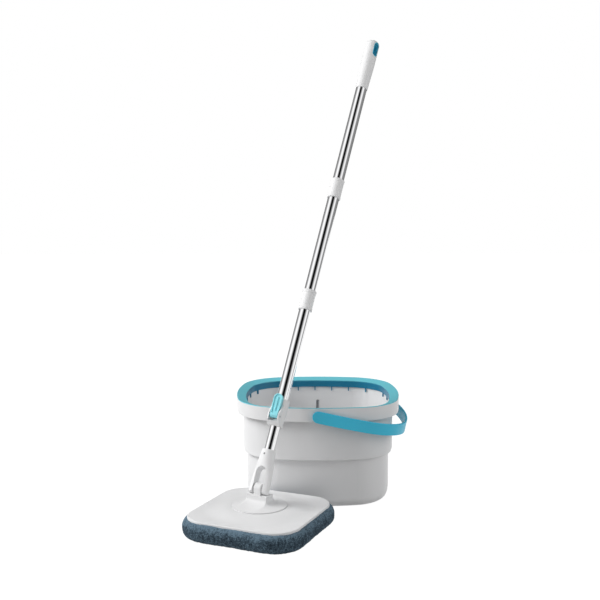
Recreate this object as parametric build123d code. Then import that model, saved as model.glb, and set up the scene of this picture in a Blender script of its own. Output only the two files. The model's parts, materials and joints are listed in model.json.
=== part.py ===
"""Flat spin mop standing beside its spin bucket.

Millimetres, +Z up, +X to the right of the bucket, +Y to its back.
The origin is the centre of the bucket's base, on the floor.
The mop head stands on the floor in front of the bucket, and its pole leans back over the rim.

Three frames carry the pieces:
    the bucket frame, which is the part's own,
    the head frame, at the middle of the head on the floor and turned with the square plate,
    the pole frame, at the tilt pin with +Z up the pole and +X along the pin.
"""

import os
from math import atan2, cos, degrees, hypot, radians, sin, sqrt

from build123d import *

# ---------------------------------------------------------------- fits
running_fit = 0.05          # radial gap of a shaft that turns or slides in its bore
hinge_gap = 0.4             # side gap between two faces that pass each other
soft_gap = 0.5              # gap between the pad and what it lies against

# ---------------------------------------------------------------- bucket
bucket_half = 182.5         # centre to the outer face of the rim, at the middle of a side
bucket_corner = 106.0       # plan radius of the rim's corners
bucket_bow = 290.0          # a side is an arc whose centre lies this far past the bucket's middle
bucket_wall = 2.5
bucket_height = 220.5       # outer edge of the moulded bucket, under the splash ring
band_height = 29.0          # depth of the skirt that hangs round the rim
band_step = 14.0            # the skirt's outer face stands this far out of the wall's
band_chamfer = 1.0
waist_height = 105.5        # the lower wall steps in below this
waist_step = 8.5
foot_round = 18.0           # round where the wall meets the base
foot_ring_width = 12.0
base_lift = 4.0             # the base plate's underside above the floor
base_rib_width = 3.0
ledge_round = 2.0
pin_boss_width = 26.0       # block between wall and skirt that carries a bail pin

# ---------------------------------------------------------------- splash ring
ring_rise = 1.5             # outer edge of the ring above the bucket's
ring_fall = 5.5             # the ring slopes down inwards by this
ring_thickness = 2.4
ring_lip_depth = 14.0       # the lip hangs this far, just inside the bucket's wall
ring_lip_draft = 1.2        # the lip's root is thicker than its foot by this
ring_tab_width = 2.4        # snap tabs under the lip
ring_tab_depth = 9.0
ring_tab_pitch = 41.0
ring_tab_shift = 5.0        # middle of a side to its nearest tab
ring_tabs_per_side = 6

# ---------------------------------------------------------------- bail handle
bail_pivot_height = 203.0
bail_width = 25.0
bail_thickness = 4.6
bail_arm = 15.2             # straight part of each arm, from the pivot axis to the bow
bail_side_gap = 2.2         # rim band to the bail's inner face
bail_rest_angle = 12.5      # the bail hangs this far below level
bail_edge_round = 1.2
bail_pin_radius = 5.0
bail_pin_chamfer = 0.8
bail_pin_engagement = 3.0   # depth of the pin's blind hole in the bail

# ---------------------------------------------------------------- spindle in the bucket
post_base_radius = 45.0
post_flange_thickness = 3.5
post_foot_radius = 27.0
post_top_radius = 12.5
post_height = 150.0         # floor to the post's top
post_wall = 3.0
post_screw_radius = 2.0
post_screw_head = 4.0
post_screw_head_height = 2.4
post_screw_head_round = 0.8
driver_slot_width = 0.8
driver_slot_depth = 0.8
post_screw_circle = 37.0
post_screw_count = 4
spindle_radius = 3.5
spindle_top = 201.5
spindle_tail = 36.0         # length of spindle below the post's top
bush_length = 24.0
bush_wall = 3.0
bush_flange = 1.5
clip_thickness = 1.2
clip_reach = 2.6
clip_groove_depth = 0.7
spindle_tip_chamfer = 1.2
hub_radius = 11.0
hub_height = 26.0
hub_teeth = 6
hub_tooth_depth = 1.6
hub_top_round = 2.0
hub_groove_room = 1.4     # hub's groove radius over the socket's tooth radius

# ---------------------------------------------------------------- mop head
head_left = 47.7            # middle of the head, left of the bucket's corner centre
head_gap = 0.8              # pad to the bucket's lower corner
head_turn = -23.5
plate_half = 118.5
plate_corner = 51.5
plate_top = 41.0
plate_skin = 2.8
plate_skirt = 7.0           # depth of the plate's edge
plate_edge = 3.2
plate_rib_width = 2.4
plate_rib_count = 8
plate_lip_round = 2.4
plate_crown = 7.0           # the plate rises this far from its border to the dome's seat
plate_border = 7.0          # flat border round the crown
seat_border = 3.0           # flat ring round the dome's seat

pad_bulge = 12.0            # the pad stands this far out of the plate all round
pad_round = 17.0
pad_height = 39.5
pad_hole_radius = 42.0

strip_length = 120.0
strip_width = 22.0
strip_thickness = 1.2
strip_offset = 82.0         # middle of a hook strip from the middle of the plate

# ---------------------------------------------------------------- swivel dome
dome_base_radius = 55.0
dome_edge = 2.2             # thickness of the dome's rim
dome_recess = 0.8           # depth of the plate's round seat for it
dome_neck_half_width = 23.2
dome_neck_half_depth = 12.4
dome_shoulder = 71.0        # floor to the top of the neck
dome_wall = 4.0
dome_flare_power = 5.0      # how fast the flange turns up into the neck
dome_flare_points = 8
hub_tube_radius = 15.0      # tube under the dome that turns in the plate's hole
retainer_radius = 21.0
retainer_thickness = 2.2
retainer_screw_radius = 2.5
retainer_screw_head = 5.0
retainer_screw_head_height = 3.0

# ---------------------------------------------------------------- spindle socket under the plate
socket_flange_radius = 37.0
socket_flange_thickness = 2.0
socket_cup_radius = 28.0
socket_cup_depth = 7.0
socket_wall = 2.4
socket_sleeve_depth = 15.0  # open sleeve that takes the spindle's hub
socket_screw_radius = 1.75
socket_screw_circle = 32.5
socket_screw_count = 4
socket_screw_cover = 0.8    # plate left over the screw's hole
socket_screw_head = 3.3
socket_screw_head_height = 2.0

# ---------------------------------------------------------------- tilt joint and fork
pivot_height = 83.0
pole_tilt = 26.6            # lean of the pole from upright
pole_azimuth = 58.1         # plan direction in which it leans, from +X
knuckle_half_width = 8.4
knuckle_slit = 3.6          # knuckle to each prong of the fork
knuckle_radius = 10.0       # round top of the knuckle about the pin
knuckle_edge_round = 1.5
tilt_pin_radius = 4.0
tilt_pin_cover = 2.0        # fork wall left over each end of the pin
fork_length = 77.0          # pin to the top of the fork's socket
fork_top_radius = 13.9
fork_hip_height = 52.0      # where the socket opens out into the two prongs
fork_hip_half_width = 17.6
fork_hip_half_depth = 13.4
fork_thigh_height = 30.0
fork_thigh_half_width = 21.0
fork_thigh_half_depth = 11.4
fork_prong_height = 5.0
fork_prong_half_width = 23.4
fork_prong_half_depth = 10.6
fork_arch_top = 42.0        # pin to the top of the gap between the prongs
fork_tip_half_width = 23.2
fork_tip_half_depth = 10.4
fork_rivet_radius = 2.0
fork_rivet_bore = 0.8
fork_rivet_proud = 0.2      # the rivet stands this far out of the fork
fork_rivet_height = 67.0

# ---------------------------------------------------------------- telescopic pole
tube_wall = 0.8
inner_tube_radius = 11.0
outer_tube_radius = 12.5
inner_tube_seat = 24.0      # depth of the inner tube in the fork
inner_tube_shown = 49.0     # bright length between fork and lock
lock_length = 56.0
lower_tube_shown = 196.5
lower_connector_length = 44.5
middle_tube_shown = 219.0
upper_connector_length = 45.0
upper_tube_shown = 234.0
grip_length = 127.0
connector_radius = 14.9
connector_waist = 14.2
connector_shoulder = 2.4    # web inside a connector, between the two tube ends
connector_band = 5.0        # full-width band at each end of a connector
connector_chamfer = 0.6
grip_seat = 42.0            # depth of the upper tube in the grip

# ---------------------------------------------------------------- lever lock
lock_radius = 16.6
lock_foot_radius = 14.2
lock_foot_band = 3.0        # height of the sleeve's plain foot
lock_waist = 31.0           # bottom of the lock to where the sleeve is widest
lock_top_band = 3.0
lock_top_chamfer = 1.2
lock_turn = -81.0           # direction of the lever round the pole, from the pin
lock_tube_seat = 27.0       # depth of the lower tube in the lock
lock_cheek_half_width = 13.0
lock_cheek_reach = 23.5     # pole axis to the front of the cheeks
lock_cheek_foot = 11.0      # bottom of the lock to where the cheeks stand out in full
lock_cheek_front = 24.0     # and to where they start to slope back
lock_cheek_top = 44.0       # and to where they run out into the sleeve
lock_cheek_sink = 3.0
lock_cheek_round = 2.2
lever_half_width = 9.4
lever_foot_half_width = 8.2
lever_pin_height = 18.0     # bottom of the lock to the lever's pin
lever_pin_reach = 18.0      # pole axis to the lever's pin
lever_pin_radius = 2.0
lever_length = 46.0         # lever's pin to its free end
lever_tip_front = 21.8      # pole axis to the lever's face at its free end
lever_tip_back = 15.6
lever_cam_radius = 5.2      # pin to the cam's high side, towards the pole
lever_cam_lift = 0.6        # how far off the pin the round cam is
lever_back_gap = 0.9
lever_rim = 2.0             # raised rim round the lever's face
lever_dish_depth = 1.8
lever_dish_start = 5.0      # lever's pin to the foot of the dish
lever_ridge_half_width = 1.1
lever_ridge_inset = 5.0     # the ridge ends this far inside the dish
slot_height = 5.2           # open slot under the lever's cam
guide_length = 9.0
guide_wall = 1.9
collar_height = 9.0
collar_wall = 1.2
collar_pad_half_width = 5.0
collar_cam_gap = 0.3
collar_slit = 2.0

# ---------------------------------------------------------------- spin drive inside the pole
pump_down = 45.0            # travel of the pole below its stored place
pump_up = 250.0             # and above it
full_out_overlap = 89.0     # inner tube left inside the lock at full extension
rod_width = 9.0
rod_thickness = 3.0
rod_lead = 75.0             # rod length in one full twist
rod_gap = 0.3
rod_spare = 20.0            # rod past the nut at either end of the travel
nut_radius = 8.0
nut_length = 15.0
nut_float = 0.3
nut_tooth_count = 6
nut_tooth_depth = 1.5
nut_tooth_width = 2.0
nut_tooth_reach = 2.6
housing_length = 27.0
housing_floor = 5.0
housing_flange = 2.0
cap_thickness = 2.5
glide_length = 18.0
stop_ring_length = 1.6
holder_length = 18.0

# ---------------------------------------------------------------- grip
grip_foot_radius = 13.7
grip_head_radius = 15.9
grip_wall = 3.0
grip_foot_chamfer = 0.8
grip_top_round = 9.5
hang_turn = -15.0           # direction of the hanging hole round the pole, from the pin
hang_width = 15.0
hang_length = 36.0
hang_from_top = 24.0        # grip's top to the middle of the hole
hang_liner = 1.5
hang_liner_recess = 0.3     # the liner ends this far below the grip's surface

# ---------------------------------------------------------------- worked-out sizes
corner_centre = (sqrt(2 * (bucket_half + bucket_bow - bucket_corner) ** 2 - bucket_bow**2) - bucket_bow) / 2
side_angle = degrees(atan2(corner_centre, corner_centre + bucket_bow))
upper_half = bucket_half - band_step
lower_half = upper_half - waist_step
lower_corner = bucket_corner - band_step - waist_step
band_bottom = bucket_height - band_height
base_top = base_lift + bucket_wall
ring_top = bucket_height + ring_rise
wall_depth = band_step + bucket_wall
ring_foot_width = wall_depth + hinge_gap + ring_thickness
ring_width = ring_foot_width + ring_lip_draft
ring_slope = ring_fall / ring_width
ring_foot = ring_top - ring_fall - ring_thickness - ring_lip_depth
bail_inner_face = bucket_half + bail_side_gap
bail_outer_face = bail_inner_face + bail_thickness
bail_reach = bail_outer_face + bail_arm

lock_bottom = fork_length + inner_tube_shown
lock_top = lock_bottom + lock_length
lower_connector_bottom = lock_top + lower_tube_shown
lower_connector_top = lower_connector_bottom + lower_connector_length
upper_connector_bottom = lower_connector_top + middle_tube_shown
upper_connector_top = upper_connector_bottom + upper_connector_length
grip_bottom = upper_connector_top + upper_tube_shown
grip_top = grip_bottom + grip_length
inner_tube_bottom = fork_length - inner_tube_seat
inner_tube_top = lock_bottom + pump_up + full_out_overlap
outer_tube_bore = outer_tube_radius - tube_wall
inner_tube_bore = inner_tube_radius - tube_wall
housing_bottom = inner_tube_top - housing_length
nut_bottom = housing_bottom + housing_floor + nut_float
rod_bottom = nut_bottom - pump_up - rod_spare
rod_holder_bottom = inner_tube_top + housing_flange + pump_down + rod_spare
rod_top = rod_holder_bottom + holder_length - cap_thickness

seat_top = plate_top + plate_crown
recess_floor = seat_top - dome_recess
dome_rim_bottom = recess_floor + hinge_gap
plate_bottom = plate_top - plate_skirt
plate_web_bottom = recess_floor - plate_skin
pad_half = plate_half + pad_bulge
pad_corner = plate_corner + pad_bulge

# The pad's near side runs past the bucket's lower corner at head_gap.
side_distance = pad_half + lower_corner + head_gap
head_x = -corner_centre - head_left
head_y = -corner_centre - (side_distance + head_left * sin(radians(head_turn))) / cos(radians(head_turn))

# ---------------------------------------------------------------- frames
pin_direction = (sin(radians(pole_azimuth)), -cos(radians(pole_azimuth)), 0)
pole_direction = (
    sin(radians(pole_tilt)) * cos(radians(pole_azimuth)),
    sin(radians(pole_tilt)) * sin(radians(pole_azimuth)),
    cos(radians(pole_tilt)),
)
head_frame = Location((head_x, head_y, 0), (0, 0, head_turn))
dome_frame = Location((head_x, head_y, 0), (0, 0, pole_azimuth - 90))
pole_frame = Plane(
    origin=(head_x, head_y, pivot_height), x_dir=pin_direction, z_dir=pole_direction
).location
lock_frame = pole_frame * Rot(0, 0, lock_turn)
hang_frame = pole_frame * Rot(0, 0, hang_turn)


# ---------------------------------------------------------------- shape helpers
def disc(radius, bottom, top):
    """Upright cylinder between two heights."""
    return Pos(0, 0, bottom) * Cylinder(
        radius, top - bottom, align=(Align.CENTER, Align.CENTER, Align.MIN)
    )


def tube(outer, inner, bottom, top):
    """Upright hollow cylinder."""
    return disc(outer, bottom, top) - disc(inner, bottom - 1, top + 1)


def block(x_size, y_size, bottom, top):
    """Upright box centred on the axis."""
    return Pos(0, 0, bottom) * Box(
        x_size, y_size, top - bottom, align=(Align.CENTER, Align.CENTER, Align.MIN)
    )


def square_prism(half, corner, bottom, top):
    """Upright prism on a square with round corners."""
    outline = RectangleRounded(2 * half, 2 * half, corner)
    return Pos(0, 0, bottom) * extrude(outline, top - bottom)


def along_x(radius, start, end):
    """Cylinder along X between two places."""
    return Pos(start, 0, 0) * Rot(0, 90, 0) * disc(radius, 0, end - start)


def along_y(radius, start, end):
    """Cylinder along Y between two places."""
    return Pos(0, start, 0) * Rot(-90, 0, 0) * disc(radius, 0, end - start)


def revolved(points):
    """Solid of revolution about Z from (radius, height) points."""
    outline = make_face(Polyline([(r, 0, z) for r, z in points], close=True))
    return revolve(outline, Axis.Z, 360)


def around(count, radius, first=0.0):
    """Places on a circle about Z."""
    return [
        Rot(0, 0, first + 360 * i / count) * Pos(radius, 0, 0) for i in range(count)
    ]


def gathered(pieces):
    """Several separate solids as one node."""
    return Compound(children=[p.solid() for p in pieces])


def bowed_outline(half, height):
    """Outline offset from the rim's, from the middle of the front side: side arcs and corner arcs."""
    side = Pos(0, bucket_bow, height)
    corner = Pos(corner_centre, -corner_centre, height)
    half_side = half + bucket_bow
    radius = half - bucket_half + bucket_corner
    edges = [side * CenterArc((0, 0), half_side, -90, side_angle).edge()]
    for turn in range(4):
        arc = corner * CenterArc((0, 0), radius, side_angle - 90, 90 - 2 * side_angle).edge()
        edges.append(Rot(0, 0, 90 * turn) * arc)
        if turn < 3:
            arc = side * CenterArc((0, 0), half_side, -90 - side_angle, 2 * side_angle).edge()
            edges.append(Rot(0, 0, 90 * turn + 90) * arc)
    edges.append(side * CenterArc((0, 0), half_side, -90 - side_angle, side_angle).edge())
    return Wire(edges)


def storey(half, bottom, top):
    """Upright prism on the bucket's bowed outline."""
    return Solid.extrude(Face(bowed_outline(half, bottom)), Vector(0, 0, top - bottom))


def round_the_rim(points):
    """Ring swept round the rim from (depth, height) points, depth inwards from the rim's face."""
    section = make_face(Polyline([(0, depth - bucket_half, z) for depth, z in points], close=True))
    return sweep(section, path=bowed_outline(bucket_half, 0))


# ---------------------------------------------------------------- bucket pieces
def rounded_storey(half, bottom, top, edge_round):
    """One storey of the bucket, with its lower edge rounded."""
    block_of_wall = storey(half, bottom, top)
    return fillet(block_of_wall.edges().group_by(Axis.Z)[0], edge_round)


def bucket_shell():
    """Two storeys with a hollow skirt round the rim, a foot ring and a ribbed recess under the base."""
    wall = bucket_wall
    body = rounded_storey(lower_half, 0, waist_height, foot_round)
    body += rounded_storey(upper_half, waist_height, band_bottom + wall, ledge_round)
    body += rim_band() + pin_bosses()

    inside = rounded_storey(lower_half - wall, base_top, waist_height + wall, foot_round - wall)
    inside += storey(upper_half - wall, waist_height + wall, ring_top + 1)
    body -= inside

    recess_half = lower_half - foot_round - foot_ring_width
    recess = storey(recess_half, -1, base_lift) - disc(post_base_radius, -2, base_lift + 1)
    rib_bottom = base_lift / 4
    for turn in (0, 45, 90, 135):
        recess -= Rot(0, 0, turn) * block(4 * recess_half, base_rib_width, rib_bottom, base_lift + 1)
    body -= recess

    for side in (-1, 1):
        lo, hi = sorted((side * upper_half, side * (bucket_half + 1)))
        body -= Pos(0, 0, bail_pivot_height) * along_y(bail_pin_radius + running_fit, lo, hi)
    for place in around(post_screw_count, post_screw_circle, 45):
        body -= place * disc(post_screw_radius, base_lift, base_top + 1)
    return body


def rim_band():
    """Upside-down U: the skirt, the sloping top that carries the ring, and the head of the wall."""
    wall = bucket_wall
    top_in = ring_seat(wall_depth)
    edge = band_chamfer
    return round_the_rim(
        [
            (edge, band_bottom),
            (0, band_bottom + edge),
            (0, bucket_height),
            (wall_depth, top_in),
            (wall_depth, band_bottom),
            (band_step, band_bottom),
            (band_step, ring_seat(band_step) - wall),
            (wall, ring_seat(wall) - wall),
            (wall, band_bottom),
        ]
    )


def ring_seat(depth):
    """Height of the slope on which the splash ring lies."""
    inner = ring_top - ring_slope * wall_depth - ring_thickness
    return bucket_height + (inner - bucket_height) * depth / wall_depth


def pin_bosses():
    """Blocks between wall and skirt in which the bail's pins turn."""
    middle = bucket_half - wall_depth / 2
    room = storey(bucket_half - bucket_wall / 2, band_bottom + band_chamfer, ring_seat(wall_depth))
    blocks = []
    for side in (-1, 1):
        boss = Pos(0, side * middle, 0) * block(pin_boss_width, wall_depth, 0, 2 * bucket_height)
        blocks.append(boss & room)
    return blocks


def splash_ring():
    """Sloping ring on the rim, with a lip just inside the wall and snap tabs under the lip."""
    t = ring_thickness
    ring = round_the_rim(
        [
            (0, bucket_height),
            (0, ring_top - ring_rise / 2),
            (ring_rise / 2, ring_top),
            (ring_width, ring_top - ring_fall),
            (ring_foot_width, ring_foot),
            (ring_foot_width - t, ring_foot),
            (ring_foot_width - t, ring_seat(wall_depth)),
            (wall_depth, ring_seat(wall_depth)),
        ]
    )
    return ring + ring_tabs()


def ring_tabs():
    """Short tongues that hang from the lip's foot, four sides alike."""
    low = ring_foot - ring_tab_depth
    lip_back = bucket_half - ring_foot_width
    band = storey(lip_back + ring_thickness, low, ring_foot + 1)
    band -= storey(lip_back, low - 1, ring_foot + 2)
    tabs = []
    for side in range(4):
        for i in range(ring_tabs_per_side):
            shift = ring_tab_shift + (i - ring_tabs_per_side // 2) * ring_tab_pitch
            slab = Pos(shift, -bucket_half, 0) * block(
                ring_tab_width, 2 * corner_centre, low, ring_foot + 1
            )
            tabs.append((Rot(0, 0, 90 * side) * slab) & band)
    return tabs


def bail_ribbon():
    """The bail lying level: a strip on the bucket's own bowed outline, set out along two straight arms."""
    half = bail_width / 2
    strip = storey(bail_outer_face, -half, half) - storey(bail_inner_face, -bail_width, bail_width)
    strip &= Box(bail_reach, 3 * bail_outer_face, bail_width, align=(Align.MIN, Align.CENTER, Align.CENTER))
    ribbon = Pos(bail_arm, 0, 0) * strip
    for y in (-bail_outer_face, bail_inner_face):
        ribbon += Pos(0, y, 0) * Box(
            bail_arm, bail_thickness, bail_width, align=(Align.MIN, Align.MIN, Align.CENTER)
        )
        ribbon += along_y(half, y, y + bail_thickness)
    return ribbon


def bail_handle():
    ribbon = bail_ribbon()
    rims = ribbon.edges().filter_by(lambda e: abs(abs(e.center().Z) - bail_width / 2) < 0.01)
    ribbon = fillet(rims, bail_edge_round)
    for side in (-1, 1):
        hole_end = side * (bail_inner_face + bail_pin_engagement)
        lo, hi = sorted((side * (bail_inner_face - 1), hole_end))
        ribbon -= along_y(bail_pin_radius, lo, hi)
    return Pos(0, 0, bail_pivot_height) * Rot(0, bail_rest_angle, 0) * ribbon


def bail_pins():
    """Two plain pins, each pressed into the bail and turning in its boss on the bucket."""
    pin = along_y(bail_pin_radius, upper_half + hinge_gap, bail_inner_face + bail_pin_engagement)
    pin = chamfer(pin.edges().group_by(Axis.Y)[0], bail_pin_chamfer)
    place = Pos(0, 0, bail_pivot_height)
    return gathered([place * pin, place * Rot(0, 0, 180) * pin])


# ---------------------------------------------------------------- spindle pieces
def spindle_post():
    """Hollow tapered column that stands on the bucket's base."""
    flange_top = base_top + post_flange_thickness
    bore = spindle_radius + bush_wall
    roof = post_height - bush_length
    outer = [
        (0, base_top),
        (post_base_radius, base_top),
        (post_base_radius, flange_top),
        (post_foot_radius, flange_top + post_flange_thickness),
        (post_top_radius, post_height),
        (0, post_height),
    ]
    hollow = [
        (0, base_top - 1),
        (post_foot_radius - post_wall, base_top - 1),
        (bore + 1, roof - post_wall),
        (0, roof - post_wall),
    ]
    post = revolved(outer) - revolved(hollow) - disc(bore, roof - post_wall - 1, post_height + 1)
    for place in around(post_screw_count, post_screw_circle, 45):
        post -= place * disc(post_screw_radius, base_top - 1, flange_top + 1)
        post -= place * disc(post_screw_head + hinge_gap, flange_top, post_height)
    return post


def post_screws():
    """Pan-head screws up through the flange into the base."""
    seat = base_top + post_flange_thickness
    head_top = seat + post_screw_head_height
    screws = []
    for place in around(post_screw_count, post_screw_circle, 45):
        screw = disc(post_screw_radius, base_lift, seat)
        head = disc(post_screw_head, seat, head_top)
        head = fillet(head.edges().group_by(Axis.Z)[-1], post_screw_head_round)
        cross = block(1.2 * post_screw_head, driver_slot_width, head_top - driver_slot_depth, head_top + 1)
        screws.append(place * (screw + head - cross - Rot(0, 0, 90) * cross))
    return gathered(screws)


def spindle_bush():
    """Flanged plain bearing at the top of the post."""
    bottom = post_height - bush_length
    bush = disc(spindle_radius + bush_wall, bottom, post_height)
    bush += disc(post_top_radius - 1, post_height, post_height + bush_flange)
    return bush - disc(spindle_radius + running_fit, bottom - 1, post_height + bush_flange + 1)


def spindle_pin():
    """Steel pin with a coned tip and a groove for its clip."""
    bottom = post_height - spindle_tail
    pin = disc(spindle_radius, bottom, spindle_top)
    pin = chamfer(pin.edges().group_by(Axis.Z)[-1], spindle_tip_chamfer)
    groove_top = post_height - bush_length - hinge_gap
    neck = spindle_radius - clip_groove_depth
    groove = tube(spindle_radius + 1, neck, groove_top - clip_thickness, groove_top)
    return pin - groove


def spindle_clip():
    """Open retaining ring in the spindle's groove, under the bush."""
    top = post_height - bush_length - hinge_gap
    neck = spindle_radius - clip_groove_depth
    ring = tube(neck + clip_reach, neck, top - clip_thickness, top)
    return ring - Pos(spindle_radius, 0, 0) * block(4 * clip_reach, 2, top - 3, top + 1)


def spindle_hub():
    """Toothed hub on the spindle that turns the mop head."""
    bottom = post_height + bush_flange + hinge_gap
    top = bottom + hub_height
    hub = disc(hub_radius, bottom, top)
    hub = fillet(hub.edges().group_by(Axis.Z)[-1], hub_top_round)
    for place in around(hub_teeth, hub_radius + hinge_gap):
        hub -= place * disc(hub_tooth_depth * hub_groove_room, bottom + hub_height / 3, top + 1)
    return hub - disc(spindle_radius, bottom - 1, top + 1)


# ---------------------------------------------------------------- head pieces
def head_plate():
    """Square moulded plate with a crown, a skirt, ribs below and a round seat for the dome."""
    plate = square_prism(plate_half, plate_corner, plate_bottom, plate_top)
    plate = fillet(plate.edges().group_by(Axis.Z)[-1], plate_lip_round)
    plate += crown()
    under = square_prism(
        plate_half - plate_edge, plate_corner - plate_edge, plate_bottom - 1, plate_top - plate_skin
    )
    under += Pos(0, 0, -plate_skin) * crown()
    under -= disc(dome_base_radius + plate_edge, plate_bottom - 2, seat_top)
    rib = block(3 * plate_half, plate_rib_width, plate_bottom + strip_thickness, seat_top)
    for i in range(plate_rib_count // 2):
        under -= Rot(0, 0, 180 * (i + 0.5) / (plate_rib_count // 2)) * rib
    plate -= under
    plate -= disc(dome_base_radius, plate_bottom - 1, plate_web_bottom)
    plate -= disc(dome_base_radius + hinge_gap, recess_floor, seat_top + 1)
    plate -= disc(hub_tube_radius + running_fit, plate_bottom - 1, seat_top + 1)
    for place in around(socket_screw_count, socket_screw_circle):
        plate -= place * disc(socket_screw_radius, plate_web_bottom - 1, recess_floor - socket_screw_cover)
    return head_frame * plate


def crown():
    """Low round rise in the middle of the plate, level at its top and at its foot."""
    inner = dome_base_radius + seat_border
    outer = plate_half - plate_border
    low = plate_top - plate_skin
    level = (1, 0, 0)
    edges = [
        Line((0, 0, seat_top), (inner, 0, seat_top)),
        Spline((inner, 0, seat_top), (outer, 0, plate_top), tangents=(level, level)),
        Line((outer, 0, plate_top), (outer, 0, low)),
        Line((outer, 0, low), (0, 0, low)),
        Line((0, 0, low), (0, 0, seat_top)),
    ]
    return revolve(make_face(Wire([e.edge() for e in edges])), Axis.Z, 360)


def mop_pad():
    """Thick pad with round sides, a bed for the plate and a hole for the spindle."""
    pad = square_prism(pad_half, pad_corner, 0, pad_height)
    pad = fillet(pad.edges().group_by(Axis.Z)[0] + pad.edges().group_by(Axis.Z)[-1], pad_round)
    pad -= square_prism(
        plate_half + soft_gap, plate_corner + soft_gap, plate_bottom - soft_gap, pad_height + 1
    )
    return head_frame * (pad - disc(pad_hole_radius, -1, pad_height))


def hook_strips():
    """Four hook-fastener strips glued in the plate's underside."""
    strips = []
    for turn in range(4):
        strip = Pos(strip_offset, 0, plate_bottom) * Box(
            strip_width, strip_length, strip_thickness,
            align=(Align.CENTER, Align.CENTER, Align.MIN),
        )
        strip = fillet(strip.edges().filter_by(Axis.Z), 3)
        strips.append(head_frame * Rot(0, 0, 90 * turn) * strip)
    return gathered(strips)


def spindle_socket():
    """Stepped cup under the plate whose open sleeve drops over the spindle's hub."""
    top = plate_web_bottom
    flange_bottom = top - socket_flange_thickness
    cup_bottom = flange_bottom - socket_cup_depth
    sleeve_bottom = cup_bottom - socket_sleeve_depth
    bore = hub_radius + hinge_gap
    cup = disc(socket_flange_radius, flange_bottom, top)
    cup += disc(socket_cup_radius, cup_bottom, top)
    cup -= disc(socket_cup_radius - socket_wall, cup_bottom + socket_wall, top + 1)
    cup += disc(bore + socket_wall, sleeve_bottom, cup_bottom + 1)
    cup -= disc(bore, sleeve_bottom - 1, top)
    for place in around(hub_teeth, bore + hub_tooth_depth / 4):
        cup += place * disc(hub_tooth_depth, sleeve_bottom + 2, cup_bottom)
    for place in around(socket_screw_count, socket_screw_circle):
        cup -= place * disc(socket_screw_radius, flange_bottom - 1, top + 1)
    return head_frame * cup


def socket_screws():
    """Screws that hold the spindle socket to the plate."""
    flange_bottom = plate_web_bottom - socket_flange_thickness
    end = recess_floor - socket_screw_cover - hinge_gap
    screws = []
    for place in around(socket_screw_count, socket_screw_circle):
        screw = disc(socket_screw_radius, flange_bottom, end)
        screw += disc(socket_screw_head, flange_bottom - socket_screw_head_height, flange_bottom)
        screws.append(head_frame * place * screw)
    return gathered(screws)


def dome_outside():
    """Round flange that turns up into a neck with four faces, which run out into the round."""
    rim_top = dome_rim_bottom + dome_edge
    corner = hypot(dome_neck_half_width, dome_neck_half_depth)
    past = 2 * dome_base_radius
    dome = revolve(flare_face(corner, False), Axis.Z, 360)
    for neck, turn in ((dome_neck_half_width, 0), (dome_neck_half_depth, 90)):
        side_view = flare_face(neck, True).face()
        dome &= Rot(0, 0, turn) * Pos(0, -past, 0) * Solid.extrude(side_view, Vector(0, 2 * past, 0))
    return dome + disc(dome_base_radius, dome_rim_bottom, rim_top)


def flare_face(neck, mirrored):
    """Side view of the flare, one half or both. The width left over the neck's at a share of the
    height is (1 - share) to the flare's power."""
    low = dome_rim_bottom + dome_edge / 2
    rim_top = dome_rim_bottom + dome_edge
    points = []
    for i in range(dome_flare_points + 1):
        share = (i / dome_flare_points) ** 2
        left = (1 - share) ** dome_flare_power
        width = neck + left * (dome_base_radius - neck)
        points.append((width, 0, rim_top + share * (dome_shoulder - rim_top)))
    edges = [Spline(*points), Line((dome_base_radius, 0, low), points[0])]
    if mirrored:
        other = [(-x, 0, z) for x, _, z in points]
        edges += [
            Spline(*other),
            Line((-dome_base_radius, 0, low), other[0]),
            Line(other[-1], points[-1]),
            Line((-dome_base_radius, 0, low), (dome_base_radius, 0, low)),
        ]
    else:
        edges += [
            Line(points[-1], (0, 0, dome_shoulder)),
            Line((0, 0, dome_shoulder), (0, 0, low)),
            Line((0, 0, low), (dome_base_radius, 0, low)),
        ]
    return make_face(Wire([e.edge() for e in edges]))


def knuckle():
    """Tongue on the dome that stands between the fork's prongs."""
    half = knuckle_half_width
    tongue = Pos(0, 0, pivot_height) * along_x(knuckle_radius, -half, half)
    tongue += block(2 * half, 2 * knuckle_radius, dome_shoulder - dome_wall, pivot_height)
    rims = tongue.edges().filter_by(
        lambda e: abs(abs(e.center().X) - half) < 0.01 and e.center().Z > dome_shoulder + 1
    )
    return fillet(rims, knuckle_edge_round)


def swivel_dome():
    """Flared dome that turns on the plate and carries the tilt joint."""
    dome = dome_outside()
    ceiling = dome_rim_bottom + 2 * dome_wall
    hollow = Pos(0, 0, -dome_wall) * dome_outside()
    hollow &= tube(dome_base_radius, hub_tube_radius + dome_wall, dome_rim_bottom - 1, ceiling)
    dome -= hollow
    dome += disc(hub_tube_radius, hub_tube_end(), dome_rim_bottom + 1)
    dome += knuckle()
    dome -= Pos(0, 0, pivot_height) * along_x(
        tilt_pin_radius + running_fit, -knuckle_half_width - 1, knuckle_half_width + 1
    )
    screw_depth = retainer_screw_length()
    dome -= disc(retainer_screw_radius, hub_tube_end() - 1, hub_tube_end() + screw_depth)
    return dome_frame * dome


def hub_tube_end():
    """Lower end of the dome's tube, just past the plate's web."""
    return plate_web_bottom - hinge_gap


def retainer_screw_length():
    return dome_shoulder - hub_tube_end() - 3 * dome_wall


def dome_retainer():
    """Washer that keeps the dome's tube in the plate."""
    top = hub_tube_end()
    washer = tube(retainer_radius, retainer_screw_radius, top - retainer_thickness, top)
    return dome_frame * washer


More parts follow.
